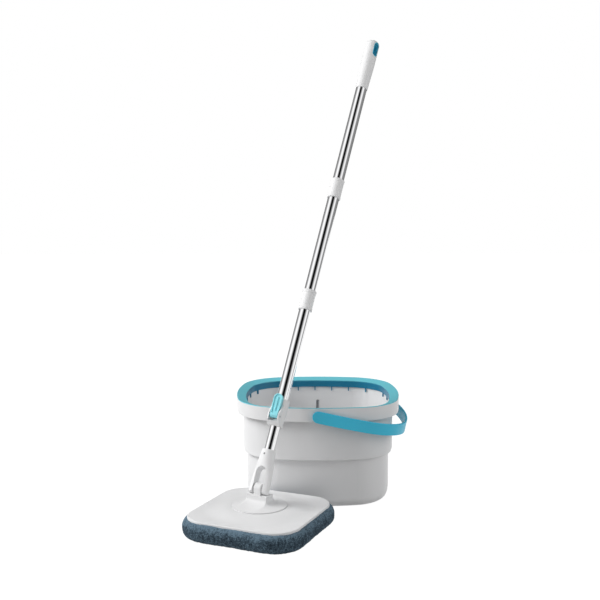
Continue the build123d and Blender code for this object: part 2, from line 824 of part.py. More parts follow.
def retainer_screw():
    top = hub_tube_end()
    under = top - retainer_thickness
    screw = disc(retainer_screw_radius, under, top + retainer_screw_length() - 1)
    head_bottom = under - retainer_screw_head_height
    screw += disc(retainer_screw_head, head_bottom, under)
    slot = block(
        driver_slot_width, 2 * retainer_screw_head + 1, head_bottom - 1, head_bottom + driver_slot_depth
    )
    return dome_frame * (screw - slot)


# ---------------------------------------------------------------- fork and tilt pin
def fork_section(half_width, half_depth, height):
    return Pos(0, 0, height) * Ellipse(half_width, half_depth).face()


def fork():
    """Two-pronged foot of the pole, blended up into a round socket."""
    tip = -prong_tip_radius()
    body = loft(
        [
            fork_section(fork_tip_half_width, fork_tip_half_depth, tip),
            fork_section(fork_prong_half_width, fork_prong_half_depth, fork_prong_height),
            fork_section(fork_thigh_half_width, fork_thigh_half_depth, fork_thigh_height),
            fork_section(fork_hip_half_width, fork_hip_half_depth, fork_hip_height),
            fork_section(fork_top_radius, fork_top_radius, fork_length),
        ]
    )
    half_gap = knuckle_half_width + knuckle_slit
    past = fork_length
    gap = Pos(0, 0, fork_arch_top - half_gap) * along_y(half_gap, -past, past)
    gap += block(2 * half_gap, 2 * past, -past, fork_arch_top - half_gap)
    body -= gap
    body &= prong_sweep()
    body -= disc(inner_tube_radius, inner_tube_bottom, fork_length + 1)
    pin_reach = fork_prong_half_width - tilt_pin_cover
    body -= along_x(tilt_pin_radius, -pin_reach, pin_reach)
    body -= Pos(0, 0, fork_rivet_height) * along_y(fork_rivet_radius, -fork_length, fork_length)
    return pole_frame * body


def prong_tip_radius():
    """The prongs' ends are round about the pin, so that they clear the dome's neck as they tilt."""
    return pivot_height - dome_shoulder - 2 * hinge_gap


def prong_sweep():
    """Room that the prongs may fill."""
    room = along_x(prong_tip_radius(), -fork_length, fork_length)
    return room + block(2 * fork_length, 2 * fork_length, 0, fork_length + 1)


def tilt_pin():
    pin_reach = fork_prong_half_width - tilt_pin_cover
    return pole_frame * along_x(tilt_pin_radius, -pin_reach, pin_reach)


def fork_rivet():
    """Rivet through the fork's socket and the inner tube."""
    reach = fork_top_radius + fork_rivet_proud
    rivet = tube(fork_rivet_radius, fork_rivet_bore, -reach, reach)
    return pole_frame * Pos(0, 0, fork_rivet_height) * Rot(90, 0, 0) * rivet


# ---------------------------------------------------------------- pole tubes
def inner_tube():
    pipe = tube(inner_tube_radius, inner_tube_bore, inner_tube_bottom, inner_tube_top)
    pipe -= Pos(0, 0, fork_rivet_height) * along_y(
        fork_rivet_radius, -2 * inner_tube_radius, 2 * inner_tube_radius
    )
    return pole_frame * pipe


def outer_tube(bottom, top):
    return pole_frame * tube(outer_tube_radius, outer_tube_bore, bottom, top)


def lower_tube():
    middle = (lower_connector_bottom + lower_connector_top) / 2
    return outer_tube(lock_top - lock_tube_seat, middle - connector_shoulder / 2)


def middle_tube():
    low = (lower_connector_bottom + lower_connector_top) / 2
    high = (upper_connector_bottom + upper_connector_top) / 2
    return outer_tube(low + connector_shoulder / 2, high - connector_shoulder / 2)


def upper_tube():
    middle = (upper_connector_bottom + upper_connector_top) / 2
    return outer_tube(middle + connector_shoulder / 2, grip_bottom + grip_seat)


def connector(bottom, top):
    """Sleeve over two tube ends, slightly waisted, with a web between the ends."""
    middle = (bottom + top) / 2
    end = connector_band
    edge = connector_chamfer
    outline = [
        (outer_tube_radius, bottom),
        (connector_radius - edge, bottom),
        (connector_radius, bottom + edge),
        (connector_radius, bottom + end),
        (connector_waist, bottom + 1.6 * end),
        (connector_waist, top - 1.6 * end),
        (connector_radius, top - end),
        (connector_radius, top - edge),
        (connector_radius - edge, top),
        (outer_tube_radius, top),
        (outer_tube_radius, middle + connector_shoulder / 2),
        (outer_tube_bore, middle + connector_shoulder / 2),
        (outer_tube_bore, middle - connector_shoulder / 2),
        (outer_tube_radius, middle - connector_shoulder / 2),
    ]
    return pole_frame * revolved(outline)


def lower_connector():
    return connector(lower_connector_bottom, lower_connector_top)


def upper_connector():
    return connector(upper_connector_bottom, upper_connector_top)


# ---------------------------------------------------------------- lever lock, in the lock frame
def lock_body():
    """Sleeve round the pole's lower end, with cheeks for the lever at its front."""
    sleeve = revolved(
        [
            (0, lock_bottom),
            (lock_foot_radius, lock_bottom),
            (lock_foot_radius, lock_bottom + lock_foot_band),
            (lock_radius, lock_bottom + lock_waist),
            (lock_radius, lock_top - lock_top_band),
            (lock_radius - lock_top_chamfer, lock_top),
            (0, lock_top),
        ]
    )
    body = sleeve + lock_cheeks()
    reach = lock_cheek_reach
    axis_z = lever_axis_height()
    pocket_bottom = axis_z - lever_cam_radius - slot_height
    pocket_half = lever_half_width + hinge_gap
    body -= Pos(outer_tube_radius + lever_back_gap - hinge_gap, 0, pocket_bottom) * Box(
        2 * reach, 2 * pocket_half, lock_length, align=(Align.MIN, Align.CENTER, Align.MIN)
    )
    body -= Pos(lever_pin_reach - lever_cam_radius - hinge_gap, 0, pocket_bottom) * Box(
        reach, 2 * pocket_half, slot_height + 2 * lever_cam_radius + hinge_gap,
        align=(Align.MIN, Align.CENTER, Align.MIN),
    )
    collar_room_low = axis_z - collar_height / 2 - hinge_gap
    collar_room_high = axis_z + collar_height / 2 + hinge_gap
    body -= Pos(0, 0, collar_room_low) * Box(
        2 * lock_radius, 2 * (collar_pad_half_width + hinge_gap), collar_room_high - collar_room_low,
        align=(Align.MIN, Align.CENTER, Align.MIN),
    )
    body -= disc(inner_tube_radius + collar_wall + hinge_gap, collar_room_low, collar_room_high)
    body -= disc(outer_tube_radius, lock_top - lock_tube_seat, lock_top + 1)
    body -= disc(inner_tube_radius + guide_wall, lock_bottom - 1, lock_bottom + guide_length)
    body -= disc(inner_tube_radius + hinge_gap, lock_bottom, lock_top)
    past = 2 * lock_cheek_half_width
    body -= Pos(lever_pin_reach, 0, axis_z) * along_y(lever_pin_radius, -past, past)
    return lock_frame * body


def lock_cheeks():
    """Block at the front of the sleeve from which the lever's pocket is cut."""
    reach = lock_cheek_reach
    side_view = make_face(
        Polyline(
            [
                (0, 0, lock_bottom),
                (lock_foot_radius, 0, lock_bottom),
                (reach, 0, lock_bottom + lock_cheek_foot),
                (reach, 0, lock_bottom + lock_cheek_front),
                (lock_radius - lock_cheek_sink, 0, lock_bottom + lock_cheek_top),
                (0, 0, lock_bottom + lock_cheek_top),
            ],
            close=True,
        )
    )
    cheeks = extrude(side_view, lock_cheek_half_width, both=True)
    return fillet(cheeks.edges().filter_by(lambda e: e.center().X > reach - 0.01), lock_cheek_round)


def lever_axis_height():
    return lock_bottom + lever_pin_height


def guide_bush():
    """Plain bearing at the bottom of the lock that guides the inner tube."""
    bush = tube(
        inner_tube_radius + guide_wall, inner_tube_radius + running_fit,
        lock_bottom, lock_bottom + guide_length,
    )
    return lock_frame * bush


def clamp_collar():
    """Split collar round the inner tube, with a flat pad on which the lever's cam presses."""
    low = lever_axis_height() - collar_height / 2
    high = low + collar_height
    pad_front = lever_pin_reach - lever_cam_radius - collar_cam_gap
    collar = disc(inner_tube_radius + collar_wall, low, high)
    collar += Pos(0, 0, low) * Box(
        pad_front, 2 * collar_pad_half_width, collar_height, align=(Align.MIN, Align.CENTER, Align.MIN)
    )
    collar -= disc(inner_tube_radius + running_fit, low - 1, high + 1)
    collar -= Pos(0, 0, low - 1) * Box(
        2 * inner_tube_radius, collar_slit, 2 * collar_height, align=(Align.MAX, Align.CENTER, Align.MIN)
    )
    return lock_frame * collar


def lever_front(half_foot, half_top, bottom, top):
    """Front view of the lever, from the side X: straight sides that open out to a round top."""
    edges = [
        Line((0, -half_foot, bottom), (0, half_foot, bottom)),
        Line((0, half_foot, bottom), (0, half_top, top - half_top)),
        ThreePointArc((0, half_top, top - half_top), (0, 0, top), (0, -half_top, top - half_top)),
        Line((0, -half_top, top - half_top), (0, -half_foot, bottom)),
    ]
    return extrude(make_face(Wire([e.edge() for e in edges])), 2 * lock_cheek_reach, both=True)


def lever_slab(face_shift, back_shift, bottom, top):
    """Side view of the lever: its face slopes back a little from the cam to the free end."""
    axis_z = lever_axis_height()
    foot_front = lever_pin_reach + lever_cam_radius
    slope = (lever_tip_front - foot_front) / lever_length
    back_slope = (lever_tip_back - lever_back()) / lever_length
    points = [
        (foot_front + slope * (z - axis_z) + face_shift, 0, z) for z in (bottom, top)
    ] + [
        (lever_back() + back_slope * (z - axis_z) + back_shift, 0, z) for z in (top, bottom)
    ]
    return extrude(make_face(Polyline(points, close=True)), lever_half_width, both=True)


def lever_back():
    return outer_tube_radius + lever_back_gap


def lock_lever():
    """Cam lever with a raised rim and a ridge in its dished face, lying along the pole when locked."""
    axis_z = lever_axis_height()
    tip = axis_z + lever_length
    lever = lever_slab(0, 0, axis_z, tip)
    lever &= lever_front(lever_foot_half_width, lever_half_width, axis_z, tip)
    lever += Pos(lever_pin_reach - lever_cam_lift, 0, axis_z) * along_y(
        lever_cam_radius - lever_cam_lift, -lever_foot_half_width, lever_foot_half_width
    )
    nose = lever_cam_radius - 2 * lever_cam_lift
    lever += Pos(lever_pin_reach + lever_cam_lift, 0, axis_z) * along_y(
        nose, -lever_foot_half_width, lever_foot_half_width
    )
    dish = lever_slab(2 * lever_dish_depth, 0, axis_z + lever_dish_start, tip)
    floor = lever_slab(-lever_dish_depth, 0, axis_z, tip + 1)
    dish -= floor
    dish &= lever_front(
        lever_foot_half_width - lever_rim, lever_half_width - lever_rim,
        axis_z + lever_dish_start, tip - lever_rim,
    )
    ridge = lever_front(
        lever_ridge_half_width, lever_ridge_half_width,
        axis_z + lever_dish_start + lever_ridge_inset, tip - lever_rim - lever_ridge_inset,
    )
    lever -= dish - (ridge & lever_slab(0, 0, axis_z, tip))
    past = 2 * lever_half_width
    lever -= Pos(lever_pin_reach, 0, axis_z) * along_y(lever_pin_radius + running_fit, -past, past)
    return lock_frame * lever


def lever_pin():
    reach = lock_cheek_half_width
    pin = along_y(lever_pin_radius, -reach, reach)
    return lock_frame * Pos(lever_pin_reach, 0, lever_axis_height()) * pin


# ---------------------------------------------------------------- spin drive
def twisted_bar(width, thickness, bottom, top):
    """Flat bar twisted about the pole axis, its turn set by height alone."""
    path = Line((0, 0, 0), (0, 0, top - bottom))
    guide = Helix(pitch=rod_lead, height=top - bottom, radius=width)
    bar = sweep(Rectangle(width, thickness), path=path, binormal=guide)
    return Pos(0, 0, bottom) * Rot(0, 0, 360 * bottom / rod_lead) * bar


def twisted_rod():
    return pole_frame * twisted_bar(rod_width, rod_thickness, rod_bottom, rod_top)


def rod_holder():
    """Plug in the middle tube that grips the rod's upper end."""
    top = rod_holder_bottom + holder_length
    plug = disc(outer_tube_bore, rod_holder_bottom, top)
    return pole_frame * (plug - twisted_bar(rod_width, rod_thickness, rod_holder_bottom - 1, rod_top))


def drive_nut():
    """Nut whose slot follows the rod's twist, with ratchet teeth on its upper face."""
    top = nut_bottom + nut_length
    nut = disc(nut_radius, nut_bottom, top)
    tooth = block(nut_tooth_reach, nut_tooth_width, top - nut_tooth_depth, top + 1)
    for place in around(nut_tooth_count, nut_radius - nut_tooth_reach / 2 + running_fit):
        nut -= place * tooth
    slot = twisted_bar(
        rod_width + 2 * rod_gap, rod_thickness + 2 * rod_gap, nut_bottom - 1, top + 1
    )
    return pole_frame * (nut - slot)


def rod_clearance_radius():
    return hypot(rod_width, rod_thickness) / 2 + 2 * rod_gap


def nut_housing():
    """Cup in the inner tube's upper end in which the nut turns."""
    cup = disc(inner_tube_bore, housing_bottom, inner_tube_top)
    cup += disc(outer_tube_bore - running_fit, inner_tube_top, inner_tube_top + housing_flange)
    cup -= disc(rod_clearance_radius(), housing_bottom - 1, inner_tube_top + 5)
    nut_room_top = inner_tube_top + housing_flange + 1
    cup -= disc(nut_radius + running_fit, housing_bottom + housing_floor, nut_room_top)
    return pole_frame * cup


def nut_cap():
    """Cap that closes the nut's housing and carries the matching ratchet teeth."""
    bottom = nut_bottom + nut_length + nut_float
    top = inner_tube_top + housing_flange
    return pole_frame * tube(nut_radius, rod_clearance_radius(), bottom, top)


def glide_bush():
    """Thin sleeve that turns on the inner tube and slides in the outer one."""
    top = inner_tube_top - nut_float
    sleeve = tube(
        outer_tube_bore - running_fit, inner_tube_radius + running_fit, top - glide_length, top
    )
    return pole_frame * sleeve


def stop_ring():
    """Ring on the inner tube that keeps the glide bush at its top."""
    top = inner_tube_top - 2 * nut_float - glide_length
    ring = tube(
        outer_tube_bore - running_fit, inner_tube_radius, top - stop_ring_length, top
    )
    return pole_frame * ring


# ---------------------------------------------------------------- grip
def grip_outside():
    """Grip's outside: a slow taper out to a round top."""
    edge = grip_foot_chamfer
    body = revolved(
        [
            (0, grip_bottom),
            (grip_foot_radius - edge, grip_bottom),
            (grip_foot_radius, grip_bottom + edge),
            (grip_head_radius, grip_bottom + grip_length / 2),
            (grip_head_radius, grip_top),
            (0, grip_top),
        ]
    )
    body = fillet(body.edges().group_by(Axis.Z)[-1], grip_top_round)
    return Rot(0, 0, 90) * body  # the seam of the round faces stays clear of the hanging hole


def hang_slot(width, length, half_depth):
    """Upright long hole with round ends, along X through the grip."""
    middle = grip_top - hang_from_top
    outline = SlotOverall(length, width, rotation=90)
    return Pos(0, 0, middle) * extrude(Plane.YZ * outline, half_depth, both=True)


def grip():
    seat_top = grip_bottom + grip_seat
    hollow_top = grip_top - hang_from_top - hang_length / 2 - 2 * grip_wall
    body = grip_outside()
    body -= disc(outer_tube_radius, grip_bottom - 1, seat_top)
    body -= disc(outer_tube_bore - grip_wall / 2, seat_top - 1, max(hollow_top, seat_top))
    body = Rot(0, 0, hang_turn) * body
    body -= Rot(0, 0, hang_turn) * hang_slot(hang_width, hang_length, 2 * grip_head_radius)
    return pole_frame * body


def hang_hole_liner():
    """Coloured sleeve that lines the hanging hole and ends just below the grip's surface."""
    sleeve = hang_slot(hang_width, hang_length, 2 * grip_head_radius)
    sleeve -= hang_slot(
        hang_width - 2 * hang_liner, hang_length - 2 * hang_liner, 3 * grip_head_radius
    )
    ends = disc(grip_head_radius - hang_liner_recess, grip_top - 2 * hang_length, grip_top)
    return hang_frame * (sleeve & Rot(0, 0, 90) * ends)


# ---------------------------------------------------------------- write the nodes
nodes = {
    "bucket_shell": bucket_shell,
    "splash_ring": splash_ring,
    "bail_handle": bail_handle,
    "bail_pins": bail_pins,
    "spindle_post": spindle_post,
    "post_screws": post_screws,
    "spindle_bush": spindle_bush,
    "spindle_pin": spindle_pin,
    "spindle_clip": spindle_clip,
    "spindle_hub": spindle_hub,
    "head_plate": head_plate,
    "mop_pad": mop_pad,
    "hook_strips": hook_strips,
    "spindle_socket": spindle_socket,
    "socket_screws": socket_screws,
    "swivel_dome": swivel_dome,
    "dome_retainer": dome_retainer,
    "retainer_screw": retainer_screw,
    "fork": fork,
    "tilt_pin": tilt_pin,
    "fork_rivet": fork_rivet,
    "inner_tube": inner_tube,
    "stop_ring": stop_ring,
    "nut_housing": nut_housing,
    "nut_cap": nut_cap,
    "drive_nut": drive_nut,
    "glide_bush": glide_bush,
    "twisted_rod": twisted_rod,
    "rod_holder": rod_holder,
    "lock_body": lock_body,
    "guide_bush": guide_bush,
    "clamp_collar": clamp_collar,
    "lock_lever": lock_lever,
    "lever_pin": lever_pin,
    "lower_tube": lower_tube,
    "lower_connector": lower_connector,
    "middle_tube": middle_tube,
    "upper_connector": upper_connector,
    "upper_tube": upper_tube,
    "grip": grip,
    "hang_hole_liner": hang_hole_liner,
}

os.makedirs("parts", exist_ok=True)
for name, make in nodes.items():
    export_step(make(), f"parts/{name}.step")
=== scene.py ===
"""Looks of the flat spin mop and its bucket: finishes, the microfibre pad and the stage.

Everything is in metres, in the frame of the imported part: +Z up, with the origin at the middle of
the bucket's base.
"""

import json
import math

import bpy
import numpy as np
from bpy.props import FloatProperty, FloatVectorProperty, IntProperty, PointerProperty
from mathutils import Matrix, Vector


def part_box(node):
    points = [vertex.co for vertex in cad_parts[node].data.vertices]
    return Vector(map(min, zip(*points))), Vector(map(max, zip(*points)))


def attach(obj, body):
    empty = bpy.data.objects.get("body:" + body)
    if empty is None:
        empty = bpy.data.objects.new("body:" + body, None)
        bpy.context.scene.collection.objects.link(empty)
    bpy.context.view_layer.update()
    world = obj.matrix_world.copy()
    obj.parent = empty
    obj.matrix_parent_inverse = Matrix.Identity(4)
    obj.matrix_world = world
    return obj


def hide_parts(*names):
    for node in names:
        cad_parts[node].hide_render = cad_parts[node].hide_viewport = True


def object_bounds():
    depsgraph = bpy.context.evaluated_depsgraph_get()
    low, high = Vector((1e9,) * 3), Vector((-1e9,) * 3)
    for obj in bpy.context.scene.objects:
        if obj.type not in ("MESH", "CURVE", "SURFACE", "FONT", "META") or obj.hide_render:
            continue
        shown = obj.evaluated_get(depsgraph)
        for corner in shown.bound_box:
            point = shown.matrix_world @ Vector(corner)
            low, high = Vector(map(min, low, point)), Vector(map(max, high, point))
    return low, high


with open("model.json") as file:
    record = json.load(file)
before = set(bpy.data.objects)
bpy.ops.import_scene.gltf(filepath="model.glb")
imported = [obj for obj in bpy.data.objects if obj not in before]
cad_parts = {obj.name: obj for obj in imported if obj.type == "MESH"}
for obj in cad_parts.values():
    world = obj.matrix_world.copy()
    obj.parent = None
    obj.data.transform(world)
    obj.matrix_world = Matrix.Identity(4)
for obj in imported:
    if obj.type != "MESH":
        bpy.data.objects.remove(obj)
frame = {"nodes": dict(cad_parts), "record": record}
cad_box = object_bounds()
nodes = frame["nodes"]

bl_info = {
    "name": "Spin Mop and Bucket",
    "version": (1, 0, 0),
    "blender": (4, 5, 0),
    "location": "View3D > Sidebar > Spin Mop",
    "description": "Finishes, microfibre pad and stage of a flat spin mop with its bucket",
    "category": "Object",
}

WHITE_NODES = (
    "bucket_shell", "head_plate", "swivel_dome", "spindle_post", "spindle_hub", "spindle_socket",
)
JOINT_NODES = ("fork", "lock_body", "lower_connector", "upper_connector", "grip")
CHROME_NODES = ("inner_tube", "lower_tube", "middle_tube", "upper_tube")
STEEL_NODES = (
    "spindle_pin", "spindle_clip", "post_screws", "socket_screws", "dome_retainer",
    "retainer_screw", "tilt_pin", "fork_rivet", "stop_ring", "twisted_rod", "lever_pin",
)
BEARING_NODES = (
    "spindle_bush", "nut_housing", "nut_cap", "drive_nut", "glide_bush", "rod_holder", "guide_bush",
)


# ---------------------------------------------------------------- settings
def colour(name, text, value):
    return FloatVectorProperty(
        name=name, description=text, default=value, subtype="COLOR", size=3, min=0.0, max=1.0
    )


class FinishSettings(bpy.types.PropertyGroup):
    """Colours of the moulded pieces, the metal and the pad."""

    white: colour("White", "Moulded white plastic", (0.795, 0.795, 0.80))
    joint: colour("Joint white", "Plastic of the pole's joints and its grip", (0.87, 0.87, 0.875))
    ring: colour("Ring", "Top of the splash ring on the bucket's rim", (0.155, 0.60, 0.70))
    # The ring lip's colour is painted shade: the ring's turquoise darkened where its inner lip lies
    # in shade.
    ring_lip_painted_shade: colour("Ring lip", "Inner lip of the splash ring", (0.003, 0.175, 0.31))
    bail: colour("Bail", "Bail handle", (0.048, 0.58, 0.82))
    lever: colour("Lever", "Lock lever on the pole", (0.31, 0.80, 0.88))
    liner: colour("Liner", "Lining of the hanging hole", (0.09, 0.58, 0.76))
    collar: colour("Collar", "Clamping collar inside the lock", (0.015, 0.015, 0.016))
    steel: colour("Steel", "Turned steel pins and screws", (0.36, 0.36, 0.37))
    bearing: colour("Bearing", "Natural bearing plastic", (0.72, 0.71, 0.67))
    # The pile's colours carry painted light: the light one also stands for the lit top edge and the
    # sheen of the tips, the dark one for shade in the pile's hollows.
    pile_light: colour("Pile light", "Tips of the pad's pile", (0.135, 0.205, 0.265))
    pile_dark: colour("Pile dark", "Depth of the pad's pile", (0.004, 0.010, 0.018))


class PadSettings(bpy.types.PropertyGroup):
    """Shape of the microfibre pad."""

    voxel: FloatProperty(
        name="Voxel", description="Grid of the pad before it is inflated",
        default=0.005, min=0.003, max=0.01, unit="LENGTH",
    )
    pressure: FloatProperty(name="Pressure", description="Air pressure that fills it", default=4.0)
    cap: FloatProperty(
        name="Cap", description="Furthest that a point may swell", default=0.002, unit="LENGTH"
    )
    tuft: FloatProperty(
        name="Tuft", description="Height of the pile's tufts", default=0.0020, unit="LENGTH"
    )
    tuft_width: FloatProperty(
        name="Tuft width", description="Width of one tuft", default=0.0045, unit="LENGTH"
    )
    steps: IntProperty(name="Steps", description="Simulated frames", default=20, min=1)


class StageSettings(bpy.types.PropertyGroup):
    """Camera and light."""

    camera_place: FloatVectorProperty(
        name="Camera", description="Where the camera stands",
        default=(-0.0175, -2.0241, 0.6238), subtype="TRANSLATION",
    )
    camera_turn: FloatProperty(
        name="Turn", description="Camera's turn to the left of straight ahead",
        default=math.radians(0.63), subtype="ANGLE",
    )
    camera_pitch: FloatProperty(
        name="Pitch", description="Camera's tilt below level",
        default=math.radians(5.46), subtype="ANGLE",
    )
    camera_roll: FloatProperty(
        name="Roll", description="Camera's roll", default=math.radians(-0.12), subtype="ANGLE"
    )
    lens: FloatProperty(name="Lens", description="Focal length on a 36 mm sensor", default=54.0)
    key_power: FloatProperty(
        name="Key", description="Power of the left lamp in watts", default=84.0
    )
    fill_power: FloatProperty(
        name="Fill", description="Power of the right lamp in watts", default=19.0
    )
    sky: FloatProperty(name="Sky", description="Strength of the world's light", default=0.34)


# ---------------------------------------------------------------- material helpers
class Graph:
    """A material's node tree, with short calls for the nodes that the finishes share."""

    def __init__(self, name):
        self.material = bpy.data.materials.new(name)
        self.material.use_nodes = True
        self.tree = self.material.node_tree
        self.shader = self.tree.nodes["Principled BSDF"]

    def add(self, kind, **values):
        node = self.tree.nodes.new(kind)
        for key, value in values.items():
            setattr(node, key, value)
        return node

    def link(self, source, target):
        self.tree.links.new(source, target)

    def place(self, stretch=(1, 1, 1), along=None):
        """Object coordinates, stretched, with the third axis along a direction if one is given."""
        source = self.add("ShaderNodeTexCoord")
        mapping = self.add("ShaderNodeMapping", vector_type="TEXTURE")
        mapping.inputs["Scale"].default_value = stretch
        if along is not None:
            mapping.inputs["Rotation"].default_value = along.to_track_quat("Z", "Y").to_euler()
        self.link(source.outputs["Object"], mapping.inputs["Vector"])
        return mapping.outputs["Vector"]

    def noise(self, vector, scale, detail=2.0, roughness=0.5):
        node = self.add("ShaderNodeTexNoise")
        node.inputs["Scale"].default_value = scale
        node.inputs["Detail"].default_value = detail
        node.inputs["Roughness"].default_value = roughness
        self.link(vector, node.inputs["Vector"])
        return node.outputs["Fac"]

    def ramp(self, value, stops):
        """Colour ramp from (place, colour) stops."""
        node = self.add("ShaderNodeValToRGB")
        ramp = node.color_ramp
        while len(ramp.elements) < len(stops):
            ramp.elements.new(0.5)
        for element, (place, shade) in zip(ramp.elements, stops):
            element.position = place
            element.color = (*shade, 1.0)
        self.link(value, node.inputs["Fac"])
        return node.outputs["Color"]

    def spread(self, value, low, high):
        """The value's middle stretch spread from low to high."""
        node = self.add("ShaderNodeMapRange")
        node.inputs["From Min"].default_value = 0.3
        node.inputs["From Max"].default_value = 0.7
        node.inputs["To Min"].default_value = low
        node.inputs["To Max"].default_value = high
        self.link(value, node.inputs["Value"])
        return node.outputs["Result"]

    def bump(self, height, strength, distance):
        node = self.add("ShaderNodeBump")
        node.inputs["Strength"].default_value = strength
        node.inputs["Distance"].default_value = distance
        self.link(height, node.inputs["Height"])
        self.link(node.outputs["Normal"], self.shader.inputs["Normal"])


def shaded(tone, factor):
    return tuple(min(1.0, c * factor) for c in tone)


def pole_axis():
    """Direction of the pole, from the joint that it spins on."""
    joints = frame["record"]["behaviour"]["joints"]
    return Vector(next(j["axis"] for j in joints if j["name"] == "pole_spin"))


SPARK_GRAIN = 0.00004  # depth of the grain on most moulded pieces
FINE_GRAIN = 0.000008  # and on the pole's joints and grip


def mould_surface(g, place, smoothest, roughest, grain):
    """Gives a moulding its uneven gloss and its fine spark grain."""
    g.link(g.spread(g.noise(place, 30.0), smoothest, roughest), g.shader.inputs["Roughness"])
    g.bump(g.noise(place, 1400.0), 0.12, grain)


def moulded_plastic(name, tone, roughness, grain=SPARK_GRAIN):
    """Semi-gloss moulding: faint clouding of the colour, uneven gloss and a fine spark grain."""
    g = Graph(name)
    place = g.place()
    cloud = g.noise(place, 9.0, 3.0)
    g.link(
        g.ramp(cloud, [(0.3, shaded(tone, 0.97)), (0.7, shaded(tone, 1.02))]),
        g.shader.inputs["Base Color"],
    )
    mould_surface(g, place, roughness - 0.03, roughness + 0.03, grain)
    g.shader.inputs["Specular IOR Level"].default_value = 0.45
    return g.material


PAINTED_SHADE_DEPTH = 0.0085  # from here down, below the ring's highest point, the lip's painted shade is full
UNSHADED_TOP_DEPTH = 0.0050  # and from here up the top's own colour is, without painted shade


def ring_with_painted_lip_shade(top_tone, painted_lip_shade):
    """Satin ring: light on its sloping top, with painted shade darkening its lip below the ring's
    inner edge.
    """
    g = Graph("moulded_ring_painted_lip_shade")
    place = g.place()
    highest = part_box("splash_ring")[1].z
    part = g.add("ShaderNodeSeparateXYZ")
    g.link(place, part.inputs["Vector"])
    # Painted shade: over this band of height the colour goes from the top's to the darker lip's.
    level = g.add("ShaderNodeMapRange", interpolation_type="SMOOTHSTEP")
    level.inputs["From Min"].default_value = highest - PAINTED_SHADE_DEPTH
    level.inputs["From Max"].default_value = highest - UNSHADED_TOP_DEPTH
    g.link(part.outputs["Z"], level.inputs["Value"])
    g.link(
        g.ramp(level.outputs["Result"], [(0.0, painted_lip_shade), (1.0, top_tone)]),
        g.shader.inputs["Base Color"],
    )
    mould_surface(g, place, 0.33, 0.40, SPARK_GRAIN)
    return g.material


def polished_chrome():
    """Bright drawn tube: near-mirror metal with faint draw lines along the pole."""
    g = Graph("polished_chrome")
    g.shader.inputs["Metallic"].default_value = 1.0
    place = g.place((1.0, 1.0, 60.0), pole_axis())
    tone = g.noise(place, 700.0, 2.0)
    g.link(
        g.ramp(tone, [(0.3, (0.82, 0.82, 0.83)), (0.7, (0.90, 0.90, 0.91))]),
        g.shader.inputs["Base Color"],
    )
    g.link(g.spread(g.noise(place, 260.0), 0.04, 0.07), g.shader.inputs["Roughness"])
    return g.material


def turned_steel(tone):
    """Machined steel with fine rings, uneven in tone and gloss."""
    g = Graph("turned_steel")
    g.shader.inputs["Metallic"].default_value = 1.0
    rings = g.noise(g.place((20.0, 20.0, 1.0)), 3000.0)
    g.link(
        g.ramp(rings, [(0.3, shaded(tone, 0.8)), (0.7, shaded(tone, 1.15))]),
        g.shader.inputs["Base Color"],
    )
    g.link(g.spread(rings, 0.28, 0.42), g.shader.inputs["Roughness"])
    return g.material


def hook_tape(tone):
    """Stiff hook fastener: rows of small dark dots."""
    g = Graph("hook_tape")
    cells = g.add("ShaderNodeTexVoronoi")
    cells.inputs["Scale"].default_value = 700.0
    g.link(g.place(), cells.inputs["Vector"])
    g.link(
        g.ramp(cells.outputs["Distance"], [(0.2, shaded(tone, 0.6)), (0.6, tone)]),
        g.shader.inputs["Base Color"],
    )
    g.shader.inputs["Roughness"].default_value = 0.8
    g.bump(cells.outputs["Distance"], 0.5, 0.0004)
    return g.material


def microfibre(light, dark):
    """Short pile: its colour follows each tuft's lightness, which holds painted light and shade,
    broken up by fibres, with a sheen.
    """
    g = Graph("microfibre")
    tuft = g.add("ShaderNodeAttribute", attribute_name="tuft")
    place = g.place()
    fibres = g.noise(place, 420.0, 4.0, 0.75)
    mixed = g.add("ShaderNodeMath", operation="MULTIPLY_ADD")
    g.link(fibres, mixed.inputs[0])
    mixed.inputs[1].default_value = 1.5
    g.link(tuft.outputs["Fac"], mixed.inputs[2])
    middle = tuple(0.33 * a + 0.67 * b for a, b in zip(light, dark))
    g.link(
        g.ramp(mixed.outputs["Value"], [(0.45, dark), (0.78, middle), (1.0, light)]),
        g.shader.inputs["Base Color"],
    )
    g.shader.inputs["Roughness"].default_value = 0.95
    g.shader.inputs["Specular IOR Level"].default_value = 0.1
    g.shader.inputs["Sheen Weight"].default_value = 0.06
    g.shader.inputs["Sheen Roughness"].default_value = 0.5
    g.shader.inputs["Sheen Tint"].default_value = (0.55, 0.72, 0.85, 1.0)
    g.bump(g.noise(place, 900.0, 3.0, 0.65), 0.8, 0.0009)
    return g.material


def dress(names, material):
    """Gives CAD nodes a finish in their own material slots."""
    for name in names:
        slots = nodes[name].material_slots
        if not slots:
            raise RuntimeError(f"{name} has no material slot")
        for slot in slots:
            slot.material = material


# ---------------------------------------------------------------- mesh helpers
def grid_mesh(name, points, closed_u=True):
    """Mesh on a (rows, columns, 3) grid of points, joined round in the second direction."""
    rows, columns = points.shape[:2]
    index = np.arange(rows * columns).reshape(rows, columns)
    right = np.roll(index, -1, axis=1) if closed_u else index[:, 1:]
    left = index if closed_u else index[:, :-1]
    quads = np.stack([left[:-1], right[:-1], right[1:], left[1:]], axis=-1).reshape(-1, 4)
    mesh = bpy.data.meshes.new(name)
    mesh.from_pydata(points.reshape(-1, 3), [], quads)
    mesh.update()
    return mesh


def linked(name, data):
    """A new object with the data, in the scene."""
    piece = bpy.data.objects.new(name, data)
    bpy.context.scene.collection.objects.link(piece)
    return piece


def coordinates(mesh):
    co = np.empty(len(mesh.vertices) * 3)
    mesh.vertices.foreach_get("co", co)
    return co.reshape(-1, 3)


def replace_coordinates(mesh, points):
    mesh.vertices.foreach_set("co", points.ravel())
    mesh.update()


